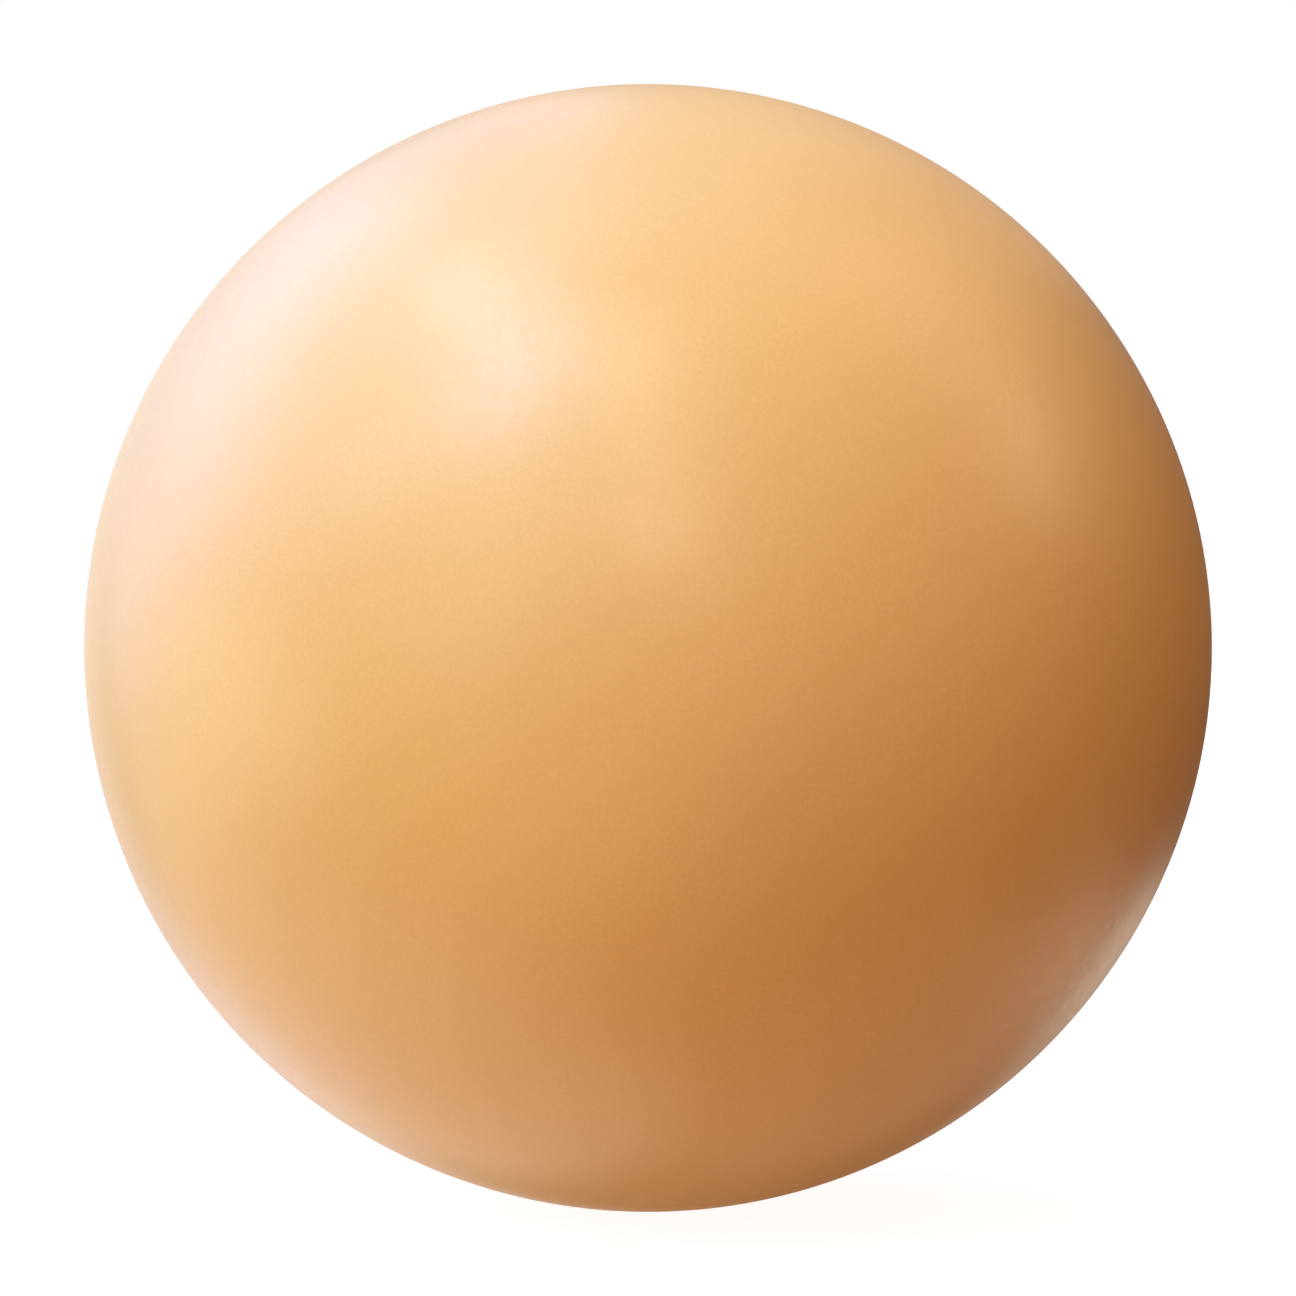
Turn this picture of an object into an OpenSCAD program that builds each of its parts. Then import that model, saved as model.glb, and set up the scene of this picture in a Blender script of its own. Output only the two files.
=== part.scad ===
// Table tennis ball: two moulded half shells, lapped and cemented at the seam.
// Millimetres, with the origin at the centre of the ball and +Z up.
// The seam lies in the XZ plane, and the front half shell is on the -Y side of it.

/* [Ball] */
// Outside diameter of the ball
ball_d = 40; // [36:0.1:44]
// Wall of both half shells, away from the seam
wall = 0.48; // [0.3:0.01:0.7]

/* [Seam] */
// Wall of both half shells at the seam, where the inside runs straight
rim_wall = 0.9; // [0.8:0.05:1.4]
// Wall of the tongue on the front half shell
tongue_wall = 0.4; // [0.25:0.05:0.5]
// How far the tongue reaches past the seam, into the rear half shell
tongue_reach = 1.2; // [0.6:0.1:2]
// Chamfer that leads the tongue in
tongue_lead = 0.12; // [0.05:0.01:0.2]
// Thickness of the cement film between the half shells
film = 0.05; // [0.02:0.01:0.1]

/* [Cement bead] */
// Width of the bead that squeezes out inside the ball, where the tongue ends
bead_w = 1; // [0.4:0.1:1.6]
// Height of the bead above the inside of the rim
bead_h = 0.2; // [0.1:0.05:0.4]

/* [Hidden] */
$fn = 180;

ball_r = ball_d / 2;
cavity_r = ball_r - wall;
// The rim is straight inside, so that a half shell can leave its mould core.
rim_r = ball_r - rim_wall;
tongue_r = rim_r + tongue_wall;
socket_r = tongue_r + film;
// Each half shell stops half a film short of the seam.
front_edge = -film / 2;
rear_edge = film / 2;
socket_end = tongue_reach + film;
// The bead is a shallow slice of a circle of this radius.
bead_arc_r = (bead_w * bead_w / 4 + bead_h * bead_h) / (2 * bead_h);

shell_colour = "#EDB069";
cement_colour = "#E3A458";

// The sections below are drawn with the distance from the seam's axis across,
// and the distance past the seam, towards the rear, upwards.

module cavity_section() {
    intersection() {
        circle(cavity_r);
        translate([0, -ball_r]) square([rim_r, ball_d]);
    }
}

module wall_section() {
    difference() {
        intersection() {
            circle(ball_r);
            translate([0, -ball_r]) square([ball_r, ball_d]);
        }
        cavity_section();
    }
}

// What lies on the front half shell's side of the cement, with the tongue
module front_side() {
    translate([0, -ball_r]) square([ball_r, ball_r + front_edge]);
    polygon([
        [rim_r, -film],
        [tongue_r, -film],
        [tongue_r, tongue_reach - tongue_lead],
        [tongue_r - tongue_lead, tongue_reach],
        [rim_r, tongue_reach]
    ]);
}

// What lies on the rear half shell's side of the cement, less the tongue's socket
module rear_side() {
    difference() {
        translate([0, rear_edge]) square([ball_r, ball_r - rear_edge]);
        square([socket_r, socket_end]);
    }
}

// The cement film fills the wall between the two sides.
module film_section() {
    difference() {
        intersection() {
            wall_section();
            translate([0, front_edge]) square([ball_r, socket_end - front_edge]);
        }
        front_side();
        rear_side();
    }
}

module bead_section() {
    intersection() {
        translate([rim_r + bead_arc_r - bead_h, tongue_reach + film / 2]) circle(bead_arc_r);
        cavity_section();
    }
}

// Turns a section about the seam's axis and lays that axis along Y.
module turned() {
    rotate([-90, 0, 0]) rotate_extrude() children();
}

module front_half_shell() {
    color(shell_colour) turned() intersection() {
        wall_section();
        front_side();
    }
}

module rear_half_shell() {
    color(shell_colour) turned() intersection() {
        wall_section();
        rear_side();
    }
}

module seam_cement() {
    color(cement_colour) turned() {
        film_section();
        bead_section();
    }
}

front_half_shell();
rear_half_shell();
seam_cement();
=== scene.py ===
"""Table tennis ball: two matt orange half shells, lapped and cemented at a fine seam."""

import math

import bpy
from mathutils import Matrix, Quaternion, Vector


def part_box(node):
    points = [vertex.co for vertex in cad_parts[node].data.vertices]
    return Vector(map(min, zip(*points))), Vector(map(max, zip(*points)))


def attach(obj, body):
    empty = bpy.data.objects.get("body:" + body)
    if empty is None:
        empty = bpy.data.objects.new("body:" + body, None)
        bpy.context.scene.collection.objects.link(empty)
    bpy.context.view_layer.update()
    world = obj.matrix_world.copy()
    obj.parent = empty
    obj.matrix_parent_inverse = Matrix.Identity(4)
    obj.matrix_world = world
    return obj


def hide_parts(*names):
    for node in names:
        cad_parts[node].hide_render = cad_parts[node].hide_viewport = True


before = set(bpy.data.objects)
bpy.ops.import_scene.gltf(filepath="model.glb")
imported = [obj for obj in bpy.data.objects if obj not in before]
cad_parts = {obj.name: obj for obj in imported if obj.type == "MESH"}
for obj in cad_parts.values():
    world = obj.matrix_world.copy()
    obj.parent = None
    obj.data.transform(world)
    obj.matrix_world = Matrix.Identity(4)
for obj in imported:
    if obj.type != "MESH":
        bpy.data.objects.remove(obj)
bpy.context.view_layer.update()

# Sizes, in metres. The ball's own come from its parts in model.glb.
MM = 0.001
FRONT_LOW, FRONT_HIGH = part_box("front_half_shell")
REAR_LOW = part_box("rear_half_shell")[0]
BALL_R = (FRONT_HIGH.z - FRONT_LOW.z) / 2
TONGUE_END = FRONT_HIGH.y
REAR_EDGE = REAR_LOW.y
FILM = 2 * REAR_EDGE
FRONT_EDGE = -REAR_EDGE
WALL = 0.48 * MM
RIM_WALL = 0.9 * MM
TONGUE_WALL = 0.4 * MM
TONGUE_LEAD = 0.12 * MM
BEAD_WIDTH = 1 * MM
BEAD_HEIGHT = 0.2 * MM
# The moulded edge of each half shell at the seam is broken by this much.
EDGE_BREAK = 0.03 * MM
# The cement shrinks as it sets, so that it lies this far below the surface.
CEMENT_SINK = 0.02 * MM

CAVITY_R = BALL_R - WALL
RIM_R = BALL_R - RIM_WALL
TONGUE_R = RIM_R + TONGUE_WALL
SOCKET_R = TONGUE_R + FILM
SOCKET_END = TONGUE_END + FILM
# Where the straight rim runs out into the round inside, as a distance from the seam
RIM_DEPTH = math.sqrt(CAVITY_R**2 - RIM_R**2)

# Steps around the seam's axis, in a quarter of the section, and around the bead's own circle
ROUND_STEPS = 288
QUARTER_STEPS = 96
BEAD_STEPS = 64
# Vertices nearer than this are one.
SAME_PLACE = 0.0002 * MM
# Faces that meet at a larger angle than this keep a sharp edge.
SHARP_ANGLE = math.radians(30)


# Modelling

def edit(obj):
    """Makes obj the only selected object and enters its edit mode."""
    bpy.ops.object.select_all(action="DESELECT")
    obj.select_set(True)
    bpy.context.view_layer.objects.active = obj
    bpy.ops.object.mode_set(mode="EDIT")


def start_section(name, radius, steps, centre=(0, 0, 0)):
    """A circle in the XY plane, which holds the section: X from the seam's axis, Y along it."""
    bpy.ops.object.select_all(action="DESELECT")
    bpy.ops.mesh.primitive_circle_add(vertices=steps, radius=radius, location=centre)
    piece = bpy.context.object
    piece.name = name
    bpy.ops.object.transform_apply(location=True, rotation=True, scale=True)
    edit(piece)
    return piece


def cut_away(place, direction):
    """Deletes the part of the edited mesh that lies past a point in a direction."""
    bpy.ops.mesh.select_all(action="SELECT")
    bpy.ops.mesh.bisect(
        plane_co=place, plane_no=direction, clear_outer=True, threshold=SAME_PLACE
    )


def select_end(piece, x, y):
    """Selects the section's vertex nearest to a place, and nothing else."""
    bpy.ops.mesh.select_all(action="DESELECT")
    bpy.ops.object.mode_set(mode="OBJECT")
    nearest = min(piece.data.vertices, key=lambda v: (v.co - Vector((x, y, 0))).length)
    nearest.select = True
    place = nearest.co.copy()
    bpy.ops.object.mode_set(mode="EDIT")
    bpy.ops.mesh.select_mode(type="VERT")
    return place


def draw_line(piece, start, *corners):
    """Draws the section on from its vertex nearest to start, through the corners."""
    place = select_end(piece, *start)
    for x, y in corners:
        step = Vector((x, y, 0)) - place
        bpy.ops.mesh.extrude_vertices_move(TRANSFORM_OT_translate={"value": step})
        place = place + step


def turn_section():
    """Turns the section about the seam's axis into a closed solid with its faces outwards."""
    bpy.ops.mesh.select_all(action="SELECT")
    bpy.ops.mesh.spin(
        steps=ROUND_STEPS, angle=2 * math.pi, center=(0, 0, 0), axis=(0, 1, 0), use_auto_merge=True
    )
    bpy.ops.mesh.select_all(action="SELECT")
    bpy.ops.mesh.remove_doubles(threshold=SAME_PLACE)
    bpy.ops.mesh.normals_make_consistent(inside=False)
    bpy.ops.object.mode_set(mode="OBJECT")
    bpy.ops.object.shade_smooth_by_angle(angle=SHARP_ANGLE)


def edge_radius(depth):
    """Distance of the outside from the seam's axis, at a distance from the seam."""
    return math.sqrt(BALL_R**2 - depth**2)


def half_shell(name, side, rim_line):
    """A half shell: the outside, the rim's corners and the round inside.

    side is -1 for the front and 1 for the rear."""
    piece = start_section(name, BALL_R, 4 * QUARTER_STEPS)
    cut_away((0, 0, 0), (-1, 0, 0))
    break_start = REAR_EDGE + EDGE_BREAK
    cut_away((0, side * break_start, 0), (0, -side, 0))
    draw_line(piece, (edge_radius(break_start), side * break_start), *rim_line)
    # The round inside is one vertex swung about the centre to the axis.
    swing = math.acos(RIM_DEPTH / CAVITY_R)
    bpy.ops.mesh.spin(
        steps=QUARTER_STEPS, angle=-side * swing, center=(0, 0, 0), axis=(0, 0, 1)
    )
    turn_section()
    return piece


def front_half_shell():
    """The half shell with the tongue."""
    return half_shell(
        "front_shell",
        -1,
        [
            (BALL_R - EDGE_BREAK, FRONT_EDGE),
            (TONGUE_R, FRONT_EDGE),
            (TONGUE_R, TONGUE_END - TONGUE_LEAD),
            (TONGUE_R - TONGUE_LEAD, TONGUE_END),
            (RIM_R, TONGUE_END),
            (RIM_R, -RIM_DEPTH),
        ],
    )


def rear_half_shell():
    """The half shell with the socket."""
    return half_shell(
        "rear_shell",
        1,
        [
            (BALL_R - EDGE_BREAK, REAR_EDGE),
            (SOCKET_R, REAR_EDGE),
            (SOCKET_R, SOCKET_END),
            (RIM_R, SOCKET_END),
            (RIM_R, RIM_DEPTH),
        ],
    )


def seam_cement():
    """The cement: a round bead inside the ball, and the film that it was squeezed out of."""
    bead_arc_r = (BEAD_WIDTH**2 / 4 + BEAD_HEIGHT**2) / (2 * BEAD_HEIGHT)
    bead_y = TONGUE_END + FILM / 2
    bead_x = RIM_R + bead_arc_r - BEAD_HEIGHT
    piece = start_section("cement_ring", bead_arc_r, BEAD_STEPS, (bead_x, bead_y, 0))
    cut_away((RIM_R, 0, 0), (1, 0, 0))
    first = (RIM_R, bead_y - BEAD_WIDTH / 2)
    last = (RIM_R, bead_y + BEAD_WIDTH / 2)
    draw_line(
        piece,
        first,
        (RIM_R, TONGUE_END),
        (TONGUE_R - TONGUE_LEAD, TONGUE_END),
        (TONGUE_R, TONGUE_END - TONGUE_LEAD),
        (TONGUE_R, FRONT_EDGE),
        (BALL_R - CEMENT_SINK, FRONT_EDGE),
        (BALL_R - CEMENT_SINK, REAR_EDGE),
        (SOCKET_R, REAR_EDGE),
        (SOCKET_R, SOCKET_END),
        (RIM_R, SOCKET_END),
        last,
    )
    turn_section()
    return piece


# Materials

# The orange of the shells: in the deeper and the paler clouds of its colour, and darker with painted
# shade in the pits of the grain and where the lapped wall lets less light through
ABS_DEEP = "#EDB069"
ABS_PALE = "#EFB26B"
ABS_PIT_SHADE = "#D69A55"
ABS_LAPPED_SHADE = "#E8A95F"
# How far the painted shade in the pits and in the lapped band goes
PIT_SHADE_SHARE = 0.18
LAPPED_SHADE_SHARE = 0.5
# Distances from the seam at which the painted shade of the lapped band starts to fade, and has gone
LAPPED_FULL = 0.8 * MM
LAPPED_GONE = 1.8 * MM
# Roughness of the shells, and how far the orange peel moves it to either side
ABS_ROUGH = 0.37
ABS_ROUGH_SWING = 0.03
# Refractive index of ABS, for the shells and the cement
ABS_IOR = 1.54
# The powdery bloom, as a weak sheen
BLOOM_WEIGHT = 0.07
BLOOM_ROUGH = 0.3
# Sizes of the grain, the orange peel and the clouds, with the relief of the first two
GRAIN_SIZE = 0.12 * MM
GRAIN_DEPTH = 0.005 * MM
GRAIN_STRENGTH = 0.7
PEEL_SIZE = 0.35 * MM
PEEL_DEPTH = 0.004 * MM
CLOUD_SIZE = 7 * MM
# A small nick near the outline, at the lower right, drawn only as painted shade, and how far the
# shade's core and its edge reach
NICK_PLACE = (15.6 * MM, -8.4 * MM, -9.3 * MM)
NICK_CORE = 0.1 * MM
NICK_EDGE = 0.25 * MM
# The cement in its deeper and its paler flow marks, their size, and its roughness in each
CEMENT_DEEP = "#DB9647"
CEMENT_PALE = "#E6A75C"
FLOW_SIZE = 0.6 * MM
CEMENT_ROUGH_DEEP = 0.24
CEMENT_ROUGH_PALE = 0.34

# How strong each finer layer of a noise is beside the coarser one before it
FINER_LAYERS = 0.6
# The middle part of a noise, which holds nearly all of it
NOISE_RANGE = {"From Min": 0.3, "From Max": 0.7}
# A change of range that eases in and out
EASED = {"interpolation_type": "SMOOTHSTEP"}
# A mix of two colours, with the numbers of its sockets
COLOUR_MIX = {"data_type": "RGBA"}
FIRST_COLOUR = 6
SECOND_COLOUR = 7
MIXED_COLOUR = 2


def linear(hex_colour):
    """A linear colour from an sRGB hex value."""
    values = [int(hex_colour[i : i + 2], 16) / 255 for i in (1, 3, 5)]
    return [v / 12.92 if v <= 0.04045 else ((v + 0.055) / 1.055) ** 2.4 for v in values] + [1]


def add_node(tree, kind, settings=None, links=None):
    """Adds a node, with its settings, and its inputs set to values or linked to outputs."""
    node = tree.nodes.new(kind)
    for name, value in (settings or {}).items():
        setattr(node, name, value)
    for name, value in (links or {}).items():
        if isinstance(value, bpy.types.NodeSocket):
            tree.links.new(value, node.inputs[name])
        else:
            node.inputs[name].default_value = value
    return node


def new_material(name):
    """An empty material and its node tree."""
    material = bpy.data.materials.new(name)
    material.use_nodes = True
    material.node_tree.nodes.clear()
    return material, material.node_tree


def tumbled_abs():
    """Orange ABS, moulded and then tumbled with grit.

    Tumbling leaves a fine even grain, so that lamps show in it as broad soft patches, with painted
    shade in its pits, and a powdery bloom, which pales the outline a little. Below that is the faint
    orange peel of the mould. The colour of the plastic is a little uneven from the melt, which is a
    faint cloudiness, and the lapped wall at the seam lets less light through, which is painted as a
    deeper band of shade there. Play has left one nick, drawn only as painted shade."""
    material, tree = new_material("tumbled_abs")
    place = add_node(tree, "ShaderNodeTexCoord").outputs["Object"]
    # The real grain is some 0.03 mm. It is drawn coarser, so that the photograph's pixels show it.
    grain = add_node(
        tree,
        "ShaderNodeTexNoise",
        links={"Vector": place, "Scale": 1 / GRAIN_SIZE, "Detail": 2, "Roughness": FINER_LAYERS},
    ).outputs["Fac"]
    peel = add_node(
        tree,
        "ShaderNodeTexNoise",
        links={"Vector": place, "Scale": 1 / PEEL_SIZE, "Detail": 1, "Roughness": FINER_LAYERS},
    ).outputs["Fac"]
    clouds = add_node(
        tree,
        "ShaderNodeTexNoise",
        links={"Vector": place, "Scale": 1 / CLOUD_SIZE, "Detail": 3, "Roughness": FINER_LAYERS},
    ).outputs["Fac"]

    # The colour, from the clouds to the painted shade of the nick, each laid over the one before
    cloud_share = add_node(
        tree,
        "ShaderNodeMapRange",
        EASED,
        {"Value": clouds, **NOISE_RANGE, "To Min": 0, "To Max": 1},
    ).outputs["Result"]
    colour_and_shade = add_node(
        tree,
        "ShaderNodeMix",
        COLOUR_MIX,
        {"Factor": cloud_share, FIRST_COLOUR: linear(ABS_DEEP), SECOND_COLOUR: linear(ABS_PALE)},
    ).outputs[MIXED_COLOUR]
    # Painted shade: the low places of the grain, its pits, are darkened in the colour.
    pit_shade_share = add_node(
        tree,
        "ShaderNodeMapRange",
        EASED,
        {"Value": grain, **NOISE_RANGE, "To Min": PIT_SHADE_SHARE, "To Max": 0},
    ).outputs["Result"]
    colour_and_shade = add_node(
        tree,
        "ShaderNodeMix",
        COLOUR_MIX,
        {"Factor": pit_shade_share, FIRST_COLOUR: colour_and_shade, SECOND_COLOUR: linear(ABS_PIT_SHADE)},
    ).outputs[MIXED_COLOUR]
    axes = add_node(tree, "ShaderNodeSeparateXYZ", links={"Vector": place})
    from_seam = add_node(
        tree, "ShaderNodeMath", {"operation": "ABSOLUTE"}, {0: axes.outputs["Y"]}
    ).outputs["Value"]
    # Painted shade: a band at the seam is darkened, for the lapped wall that lets less light through.
    lapped_shade_share = add_node(
        tree,
        "ShaderNodeMapRange",
        EASED,
        {
            "Value": from_seam,
            "From Min": LAPPED_FULL,
            "From Max": LAPPED_GONE,
            "To Min": LAPPED_SHADE_SHARE,
            "To Max": 0,
        },
    ).outputs["Result"]
    colour_and_shade = add_node(
        tree,
        "ShaderNodeMix",
        COLOUR_MIX,
        {"Factor": lapped_shade_share, FIRST_COLOUR: colour_and_shade, SECOND_COLOUR: linear(ABS_LAPPED_SHADE)},
    ).outputs[MIXED_COLOUR]
    # Painted shade: the nick is a darker spot in the colour, with no dent in the surface.
    from_nick = add_node(
        tree, "ShaderNodeVectorMath", {"operation": "DISTANCE"}, {0: place, 1: NICK_PLACE}
    ).outputs["Value"]
    nick_shade_share = add_node(
        tree,
        "ShaderNodeMapRange",
        EASED,
        {"Value": from_nick, "From Min": NICK_CORE, "From Max": NICK_EDGE, "To Min": 1, "To Max": 0},
    ).outputs["Result"]
    colour_and_shade = add_node(
        tree,
        "ShaderNodeMix",
        COLOUR_MIX,
        {"Factor": nick_shade_share, FIRST_COLOUR: colour_and_shade, SECOND_COLOUR: linear(ABS_PIT_SHADE)},
    ).outputs[MIXED_COLOUR]

    # The relief, with the grain on top of the orange peel, which also moves the gloss a little
    peel_relief = add_node(
        tree, "ShaderNodeBump", links={"Height": peel, "Distance": PEEL_DEPTH, "Strength": 1}
    )
    relief = add_node(
        tree,
        "ShaderNodeBump",
        links={
            "Height": grain,
            "Distance": GRAIN_DEPTH,
            "Strength": GRAIN_STRENGTH,
            "Normal": peel_relief.outputs["Normal"],
        },
    )
    roughness = add_node(
        tree,
        "ShaderNodeMapRange",
        EASED,
        {
            "Value": peel,
            **NOISE_RANGE,
            "To Min": ABS_ROUGH - ABS_ROUGH_SWING,
            "To Max": ABS_ROUGH + ABS_ROUGH_SWING,
        },
    ).outputs["Result"]
    shader = add_node(
        tree,
        "ShaderNodeBsdfPrincipled",
        links={
            "Base Color": colour_and_shade,
            "Roughness": roughness,
            "IOR": ABS_IOR,
            "Sheen Weight": BLOOM_WEIGHT,
            "Sheen Roughness": BLOOM_ROUGH,
            "Normal": relief.outputs["Normal"],
        },
    )
    add_node(tree, "ShaderNodeOutputMaterial", links={"Surface": shader.outputs["BSDF"]})
    return material


def set_cement():
    """Set solvent cement: the shells' own plastic, dissolved and dried.

    It is a little deeper in colour and glossier than the tumbled surface, with faint flow marks."""
    material, tree = new_material("set_cement")
    place = add_node(tree, "ShaderNodeTexCoord").outputs["Object"]
    flow = add_node(
        tree,
        "ShaderNodeTexNoise",
        links={"Vector": place, "Scale": 1 / FLOW_SIZE, "Detail": 2, "Roughness": FINER_LAYERS},
    ).outputs["Fac"]
    pale_share = add_node(
        tree,
        "ShaderNodeMapRange",
        EASED,
        {"Value": flow, **NOISE_RANGE, "To Min": 0, "To Max": 1},
    ).outputs["Result"]
    colour = add_node(
        tree,
        "ShaderNodeMix",
        COLOUR_MIX,
        {"Factor": pale_share, FIRST_COLOUR: linear(CEMENT_DEEP), SECOND_COLOUR: linear(CEMENT_PALE)},
    ).outputs[MIXED_COLOUR]
    roughness = add_node(
        tree,
        "ShaderNodeMapRange",
        EASED,
        {"Value": flow, **NOISE_RANGE, "To Min": CEMENT_ROUGH_DEEP, "To Max": CEMENT_ROUGH_PALE},
    ).outputs["Result"]
    shader = add_node(
        tree,
        "ShaderNodeBsdfPrincipled",
        links={"Base Color": colour, "Roughness": roughness, "IOR": ABS_IOR},
    )
    add_node(tree, "ShaderNodeOutputMaterial", links={"Surface": shader.outputs["BSDF"]})
    return material


# Stage

# Sizes and distances, in metres. The lens and the sensor are in millimetres.
FLOOR_SIZE = 6.0
# The floor's glow under the ball, and the distances from the ball between which it rises to white
SHADOW_GLOW = 0.9
SHADOW_NEAR = 0.04
SHADOW_FAR = 0.3
TENT_R = 0.9
LAMP_DISTANCE = 0.5
CAMERA_LENS = 100.0
CAMERA_SENSOR = 36.0
# The camera sees nothing nearer than this.
CAMERA_NEAR = 0.001
# Side of the photograph, and radius of the ball's outline in it, in pixels
PHOTO_SIDE = 1296
OUTLINE_PIXELS = 564
# Where the tent is open to the backdrop, in degrees: azimuth and elevation, and the half width
BACKDROP_DIRECTION = (-163, -5)
BACKDROP_HALF = 22
# Colours of the floor's paint and the tent's cloth, and the white of the floor's glow and the world
FLOOR_PAINT = "#8A8A8A"
TENT_BLACK = "#101010"
WHITE = (1, 1, 1, 1)
# Colours of the light. The left is lit by the sky, through windows, and the right by warm walls.
DUSK_SKY = "#9CB4FF"
NOON_SKY = "#B4D0FF"
HIGH_SKY = "#96E4FF"
LEAFY_LIGHT = "#E6FFE2"
PALE_WALL = "#FFF7E5"
PINK_WALL = "#FFDDC0"
AMBER_WALL = "#FFBC96"
# The softboxes: name, azimuth, elevation, half width, half height, roll, level and colour
LAMPS = (
    # A large window on the left, with a brighter strip at its edge and a dim one near the floor
    ("window", -114, 40, 40, 40, -60, 1.95, DUSK_SKY),
    ("window_edge", -116, 34, 14, 24, 40, 3.2, DUSK_SKY),
    ("left_rim", -145, -30, 10, 20, 30, 0.4, DUSK_SKY),
    # The key, high on the left, and two softer panes beside it
    ("key", -38, 50, 8, 13, -12, 14.3, NOON_SKY),
    ("left_upper", -72, 62, 10, 6, 0, 9.5, HIGH_SKY),
    ("left_mid", -60, 30, 9, 9, 0, 3.5, HIGH_SKY),
    # A roof light, and two dim panes behind it that reach the top of the outline
    ("roof_light", 180, 84, 14, 14, 0, 1.3, HIGH_SKY),
    ("back_top", 174, 54, 14, 10, 0, 0.5, HIGH_SKY),
    ("rim_top", -166, 24, 10, 6, 0, 0.25, PALE_WALL),
    # A narrow strip over the camera, with a small spot below it
    ("front_strip", -3, 50, 4, 16, 0, 8.4, LEAFY_LIGHT),
    ("front_spot", 1, 23, 3.5, 3.5, 0, 26, PALE_WALL),
    # What the left side sends back at the height of the ball, from the front to the rim
    ("left_front", -32, 14, 12, 20, -20, 2.4, LEAFY_LIGHT),
    ("left_low", -88, -8, 18, 13, 0, 2.3, LEAFY_LIGHT),
    ("left_edge", -122, -3, 8, 16, 0, 0.8, LEAFY_LIGHT),
    # The warm fill from below the camera, and the warm right side with one small lamp
    ("front_fill", -5, -18, 40, 20, 45, 1.2, AMBER_WALL),
    ("right_spot", 90, 28, 4, 9, -25, 6.8, PINK_WALL),
    ("right_high", 95, 50, 14, 14, 0, 1.3, AMBER_WALL),
    ("right_front", 60, 60, 15, 15, 0, 0.8, PINK_WALL),
    ("right_top", 145, 53, 40, 20, -40, 0.6, PINK_WALL),
    # The pale table, which lights the ball from below on both sides
    ("low_left", -120, -53, 30, 38, 30, 1.3, PALE_WALL),
    ("low_right", 160, -16, 7, 40, -60, 0.65, PALE_WALL),
    ("low_side", 122, -31, 12, 9, 0, 0.85, PINK_WALL),
    ("rim_low", 152, -17, 5, 5, 0, 1.2, PALE_WALL),
    ("floor_right", 120, -57, 28, 20, 0, 0.6, PINK_WALL),
)


def outwards(azimuth, elevation):
    """A direction away from the ball, in degrees: azimuth 0 is the camera's side and 90 the right."""
    turn = math.radians(azimuth)
    rise = math.radians(elevation)
    flat = math.cos(rise)
    return Vector((math.sin(turn) * flat, -math.cos(turn) * flat, math.sin(rise)))


def white_floor():
    """A plain white floor, which keeps the ball's soft shadow.

    Only cameras see it, so that the low lamps reach the ball through it, as on a glass table."""
    bpy.ops.object.select_all(action="DESELECT")
    bpy.ops.mesh.primitive_plane_add(size=FLOOR_SIZE, location=(0, 0, -BALL_R))
    floor = bpy.context.object
    floor.name = "floor"
    bpy.ops.object.transform_apply(location=True)
    material, tree = new_material("white_floor")
    place = add_node(tree, "ShaderNodeTexCoord").outputs["Object"]
    away = add_node(
        tree, "ShaderNodeVectorMath", {"operation": "LENGTH"}, {0: place}
    ).outputs["Value"]
    # It glows, so that it is white also where no lamp reaches it, and less so where the shadow lies.
    strength = add_node(
        tree,
        "ShaderNodeMapRange",
        EASED,
        {
            "Value": away,
            "From Min": SHADOW_NEAR,
            "From Max": SHADOW_FAR,
            "To Min": SHADOW_GLOW,
            "To Max": 1,
        },
    ).outputs["Result"]
    glow = add_node(tree, "ShaderNodeEmission", links={"Color": WHITE, "Strength": strength})
    paint = add_node(tree, "ShaderNodeBsdfDiffuse", links={"Color": linear(FLOOR_PAINT)})
    both = add_node(
        tree, "ShaderNodeAddShader", links={0: glow.outputs["Emission"], 1: paint.outputs["BSDF"]}
    )
    add_node(tree, "ShaderNodeOutputMaterial", links={"Surface": both.outputs["Shader"]})
    floor.data.materials.append(material)
    floor.visible_diffuse = False
    floor.visible_glossy = False
    floor.visible_shadow = False


def black_tent():
    """A tent of black cloth around the set, open behind the ball.

    It keeps the white of the world off the ball, except for the backdrop. Cameras see through it."""
    bpy.ops.object.select_all(action="DESELECT")
    bpy.ops.mesh.primitive_uv_sphere_add(segments=64, ring_count=32, radius=TENT_R)
    tent = bpy.context.object
    tent.name = "tent"
    edit(tent)
    opening = outwards(*BACKDROP_DIRECTION)
    cut_away(opening * TENT_R * math.cos(math.radians(BACKDROP_HALF)), opening)
    bpy.ops.object.mode_set(mode="OBJECT")
    material, tree = new_material("black_cloth")
    cloth = add_node(tree, "ShaderNodeBsdfDiffuse", links={"Color": linear(TENT_BLACK)})
    add_node(tree, "ShaderNodeOutputMaterial", links={"Surface": cloth.outputs["BSDF"]})
    tent.data.materials.append(material)
    tent.visible_camera = False


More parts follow.
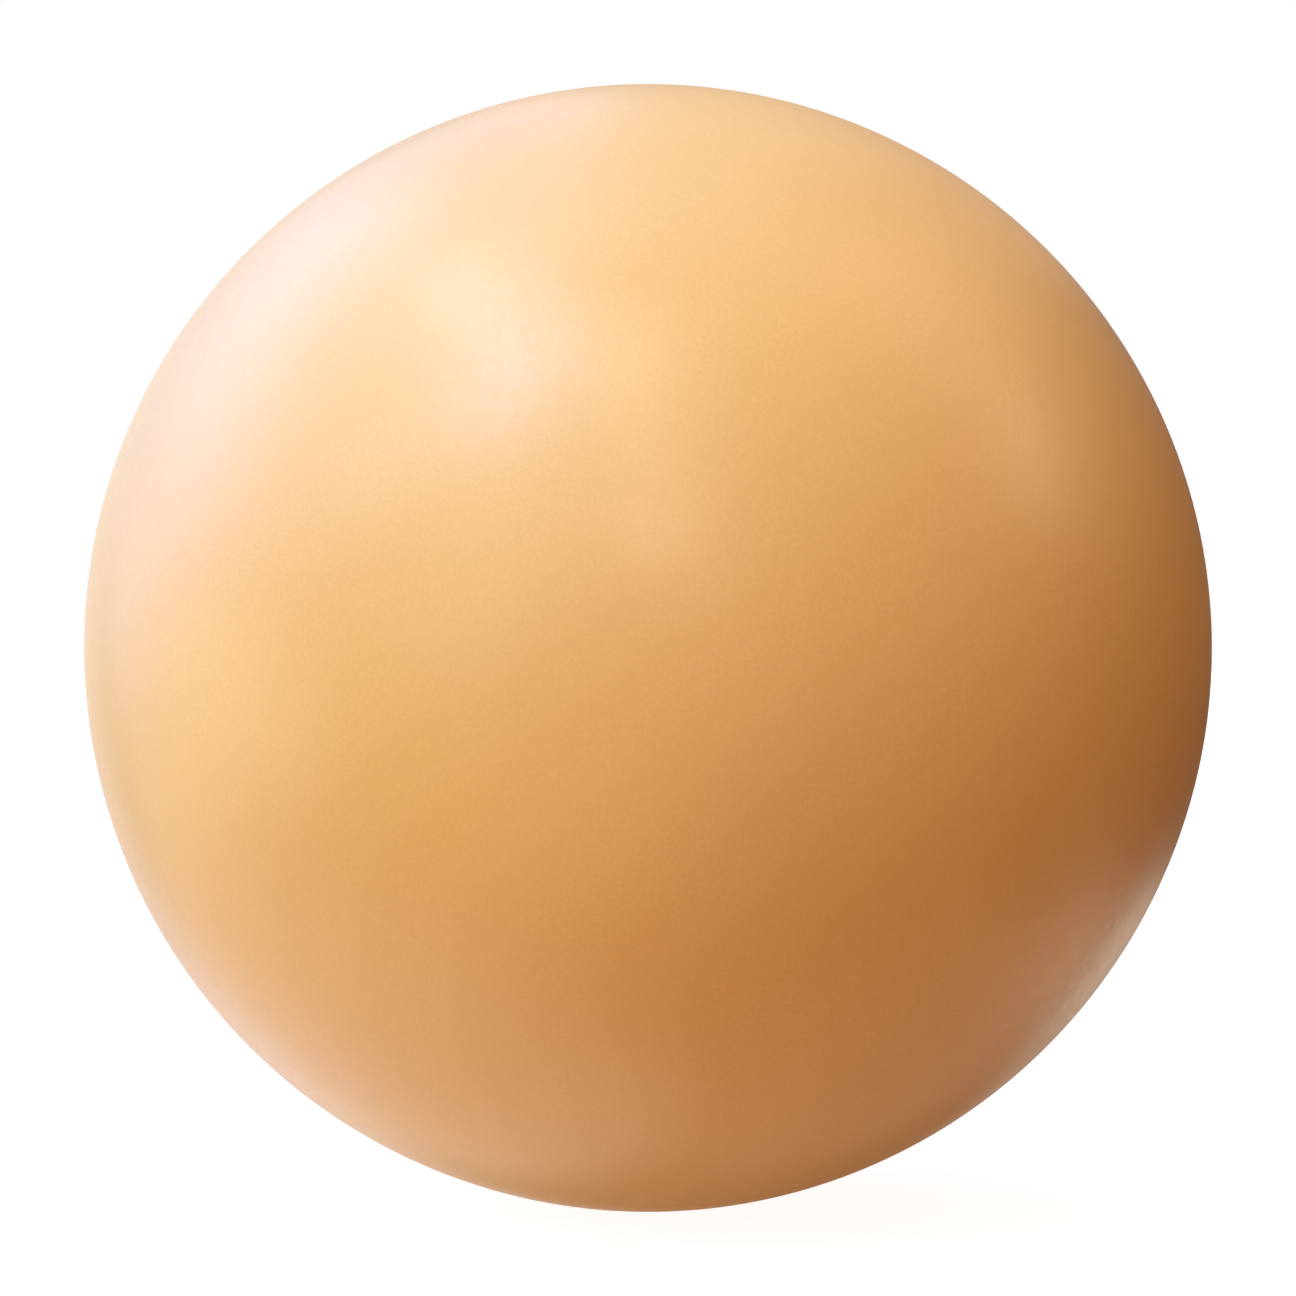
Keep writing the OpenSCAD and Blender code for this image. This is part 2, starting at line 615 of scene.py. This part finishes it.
def softbox(name, azimuth, elevation, half_width, half_height, roll, level, colour):
    """A rectangular softbox that faces the ball, which no camera sees.

    Its half sizes are in degrees, as seen from the ball, and level is how bright its face is, where
    1 is white."""
    out = outwards(azimuth, elevation)
    width = 2 * LAMP_DISTANCE * math.tan(math.radians(half_width))
    height = 2 * LAMP_DISTANCE * math.tan(math.radians(half_height))
    lamp = bpy.data.lights.new(name, "AREA")
    lamp.shape = "RECTANGLE"
    lamp.size = width
    lamp.size_y = height
    lamp.energy = level * math.pi * width * height
    lamp.color = linear(colour)[:3]
    box = bpy.data.objects.new(name, lamp)
    box.location = out * LAMP_DISTANCE
    facing = out.to_track_quat("Z", "Y") @ Quaternion((0, 0, 1), math.radians(roll))
    box.rotation_euler = facing.to_euler()
    box.visible_camera = False
    bpy.context.scene.collection.objects.link(box)


def camera():
    """The photograph's view: level with the ball, which fills the frame as it does there."""
    half_angle = math.atan(OUTLINE_PIXELS / PHOTO_SIDE * CAMERA_SENSOR / CAMERA_LENS)
    data = bpy.data.cameras.new("camera")
    data.lens = CAMERA_LENS
    data.sensor_width = CAMERA_SENSOR
    data.clip_start = CAMERA_NEAR
    view = bpy.data.objects.new("camera", data)
    view.location = (0, -BALL_R / math.sin(half_angle), 0)
    view.rotation_euler = (math.radians(90), 0, 0)
    bpy.context.scene.collection.objects.link(view)
    bpy.context.scene.camera = view


def white_world():
    """A plain white world, which is the backdrop."""
    world = bpy.data.worlds.new("white_world")
    world.use_nodes = True
    bpy.context.scene.world = world
    tree = world.node_tree
    tree.nodes.clear()
    white = add_node(tree, "ShaderNodeBackground", links={"Color": WHITE, "Strength": 1})
    add_node(tree, "ShaderNodeOutputWorld", links={"Surface": white.outputs["Background"]})


shells = tumbled_abs()
for piece, node in ((front_half_shell(), "front_half_shell"), (rear_half_shell(), "rear_half_shell")):
    piece.data.materials.append(shells)
    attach(piece, "root")
    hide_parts(node)
cement = seam_cement()
cement.data.materials.append(set_cement())
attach(cement, "root")
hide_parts("seam_cement")

white_floor()
black_tent()
white_world()
for lamp in LAMPS:
    softbox(*lamp)
camera()
bpy.context.scene.view_settings.view_transform = "Standard"
